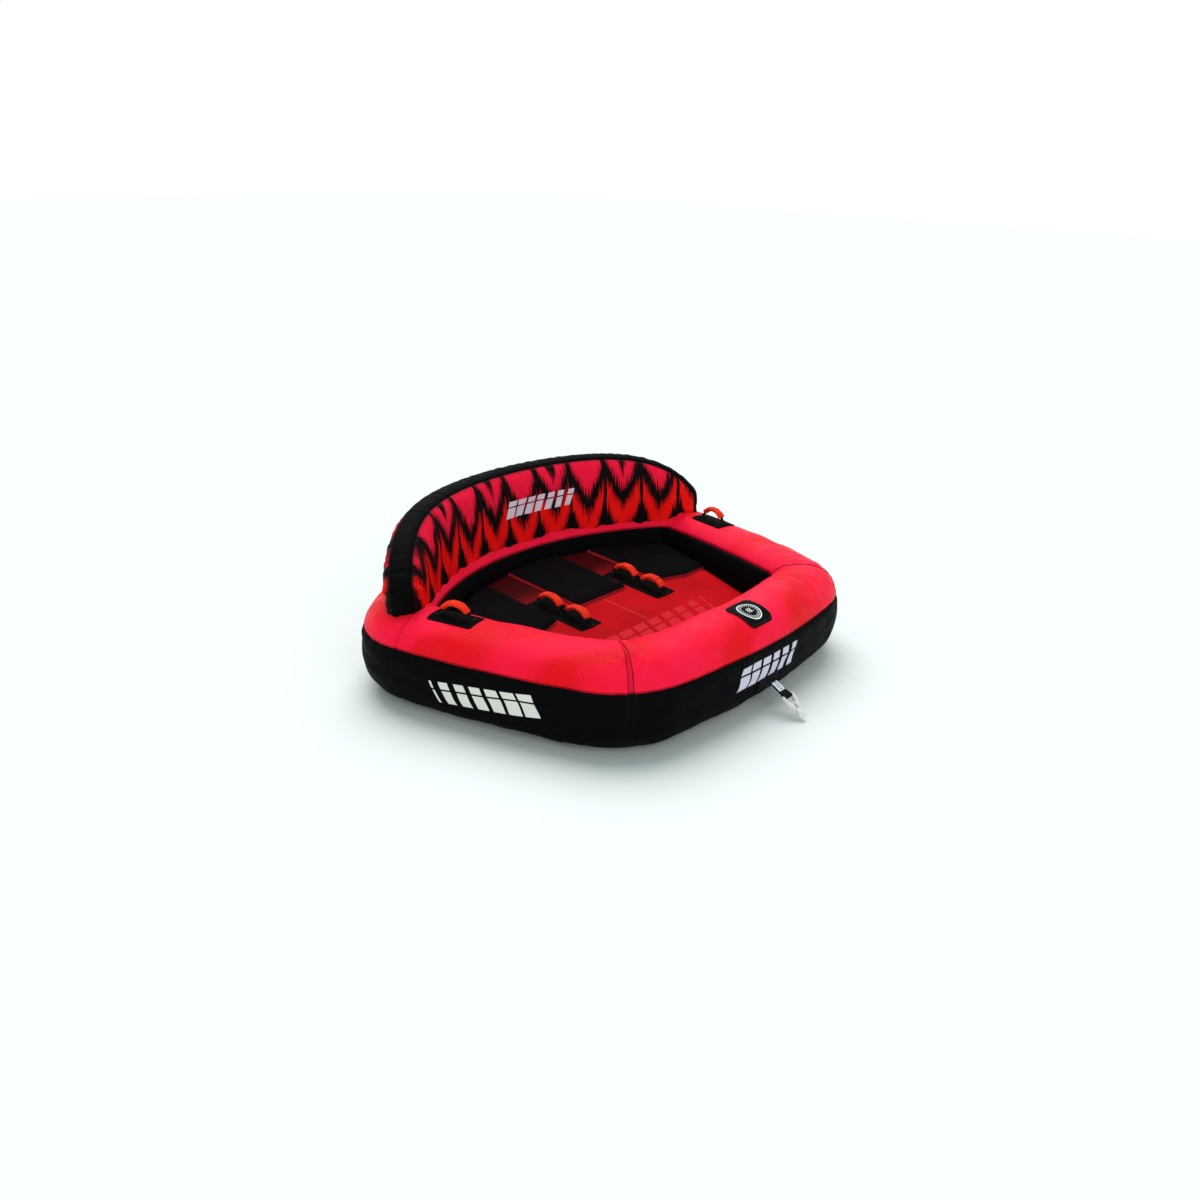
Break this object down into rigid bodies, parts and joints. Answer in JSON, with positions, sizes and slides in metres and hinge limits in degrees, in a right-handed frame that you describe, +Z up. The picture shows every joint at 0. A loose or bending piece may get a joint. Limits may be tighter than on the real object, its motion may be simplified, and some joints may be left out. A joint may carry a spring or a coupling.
{
  "type": "towable tube",
  "caption": "Sofa-style inflatable tow tube with an arched backrest, a raked floor with seat pads, grab handles and a front tow connector.",
  "frame": {"origin": "on the ground, under the centre of the bounding box", "axes": "+Z up, -Y to the towed front, +X to the left-hand side of a seated rider"},
  "size_m": [2.0032, 1.7357, 0.6574],
  "materials": {
    "red_fabric": "printed coated polyester, scarlet",
    "black_fabric": "coated polyester, black",
    "pattern_fabric": "printed polyester, red and black flame pattern",
    "floor_red": "printed polyester, dark red",
    "grip_fabric": "padded fabric sleeve, orange red",
    "webbing": "woven nylon webbing, black",
    "red_webbing": "woven nylon webbing, red",
    "tag_white": "woven care tag, white",
    "bladder_vinyl": "smooth PVC film, dark",
    "connector_plastic": "moulded nylon, pale grey",
    "valve_plastic": "moulded PVC, black",
    "zip_metal": "moulded acetal, black"
  },
  "bodies": {
    "tube": {"ring_bladder": "bladder_vinyl", "floor_bladder": "bladder_vinyl", "backrest_bladder": "bladder_vinyl", "cover_top_front": "red_fabric", "cover_top_left": "red_fabric", "cover_top_right": "red_fabric", "cover_top_back": "red_fabric", "cover_outer_band": "black_fabric", "cover_inner_wall": "black_fabric", "cover_bottom": "black_fabric", "floor_cover": "floor_red", "seat_pad_left": "black_fabric", "seat_pad_middle": "black_fabric", "seat_pad_right": "black_fabric", "backrest_front_panel": "pattern_fabric", "backrest_gusset": "black_fabric", "backrest_back_panel": "pattern_fabric", "side_handle_pad_left": "black_fabric", "side_handle_pad_right": "black_fabric", "floor_handle_pad_left": "black_fabric", "floor_handle_pad_right": "black_fabric", "side_handle_tabs_left": "webbing", "side_handle_tabs_right": "webbing", "floor_handle_tabs_left": "webbing", "floor_handle_tabs_right": "webbing", "tow_patch": "webbing", "zip_tape": "webbing", "ring_valve_body": "valve_plastic", "backrest_valve_body": "valve_plastic", "floor_valve_body": "valve_plastic"},
    "floor_handle_left_front": {"floor_handle_left_front_strap": "red_webbing", "floor_handle_left_front_grip": "grip_fabric"},
    "floor_handle_left_rear": {"floor_handle_left_rear_strap": "red_webbing", "floor_handle_left_rear_grip": "grip_fabric"},
    "floor_handle_right_front": {"floor_handle_right_front_strap": "red_webbing", "floor_handle_right_front_grip": "grip_fabric"},
    "floor_handle_right_rear": {"floor_handle_right_rear_strap": "red_webbing", "floor_handle_right_rear_grip": "grip_fabric"},
    "side_handle_left": {"side_handle_left_strap": "red_webbing", "side_handle_left_grip": "grip_fabric"},
    "side_handle_right": {"side_handle_right_strap": "red_webbing", "side_handle_right_grip": "grip_fabric"},
    "tow_strap": {"tow_strap": "webbing", "tow_tag": "tag_white"},
    "tow_connector": {"tow_connector": "connector_plastic"},
    "valve_flap": {"valve_flap": "black_fabric"},
    "ring_valve_cap": {"ring_valve_cap": "valve_plastic"},
    "backrest_valve_cap": {"backrest_valve_cap": "valve_plastic"},
    "floor_valve_cap": {"floor_valve_cap": "valve_plastic"},
    "zip_slider": {"zip_slider": "zip_metal"}
  },
  "joints": [
    {"name": "floor_handle_left_front_fold", "type": "hinge", "parent": "tube", "child": "floor_handle_left_front", "pos_m": [0.242, 0.0517, 0.22669], "axis": [0, 0.9959, 0.0905], "range_deg": [-50, 50]},
    {"name": "floor_handle_left_rear_fold", "type": "hinge", "parent": "tube", "child": "floor_handle_left_rear", "pos_m": [0.242, 0.19511, 0.23972], "axis": [0, 0.9959, 0.0905], "range_deg": [-50, 50]},
    {"name": "floor_handle_right_front_fold", "type": "hinge", "parent": "tube", "child": "floor_handle_right_front", "pos_m": [-0.242, 0.0517, 0.22669], "axis": [0, 0.9959, 0.0905], "range_deg": [-50, 50]},
    {"name": "floor_handle_right_rear_fold", "type": "hinge", "parent": "tube", "child": "floor_handle_right_rear", "pos_m": [-0.242, 0.19511, 0.23972], "axis": [0, 0.9959, 0.0905], "range_deg": [-50, 50]},
    {"name": "side_handle_left_fold", "type": "hinge", "parent": "tube", "child": "side_handle_left", "pos_m": [0.8103, 0.14348, 0.381], "axis": [-0.2222, -0.975, 0], "range_deg": [-50, 50]},
    {"name": "side_handle_right_fold", "type": "hinge", "parent": "tube", "child": "side_handle_right", "pos_m": [-0.8103, 0.14348, 0.381], "axis": [0.2222, -0.975, 0], "range_deg": [-50, 50]},
    {"name": "tow_strap_swing", "type": "hinge", "parent": "tube", "child": "tow_strap", "pos_m": [0, -0.70141, 0.122], "axis": [-1, 0, 0], "range_deg": [0, 80]},
    {"name": "tow_connector_swing", "type": "hinge", "parent": "tow_strap", "child": "tow_connector", "pos_m": [0, -0.78108, 0.076], "axis": [-1, 0, 0], "range_deg": [0, 60]},
    {"name": "valve_flap_lift", "type": "hinge", "parent": "tube", "child": "valve_flap", "pos_m": [0, -0.51764, 0.3685], "axis": [-1, 0, 0], "range_deg": [0, 125]},
    {"name": "ring_valve_cap_turn", "type": "hinge", "parent": "tube", "child": "ring_valve_cap", "pos_m": [0, -0.58264, 0.36289], "axis": [0, -0.2196, 0.9756], "range_deg": [0, 180]},
    {"name": "backrest_valve_cap_turn", "type": "hinge", "parent": "tube", "child": "backrest_valve_cap", "pos_m": [0, 0.7609, 0.432], "axis": [0, 1, 0], "range_deg": [0, 180]},
    {"name": "floor_valve_cap_turn", "type": "hinge", "parent": "tube", "child": "floor_valve_cap", "pos_m": [0, 0.3, 0.003], "axis": [0, 0, -1], "range_deg": [0, 180]},
    {"name": "zip_slider_run", "type": "hinge", "parent": "tube", "child": "zip_slider", "pos_m": [0, -0.6437, 0.165], "axis": [0, 0, 1], "range_deg": [0, 37]}
  ]
}
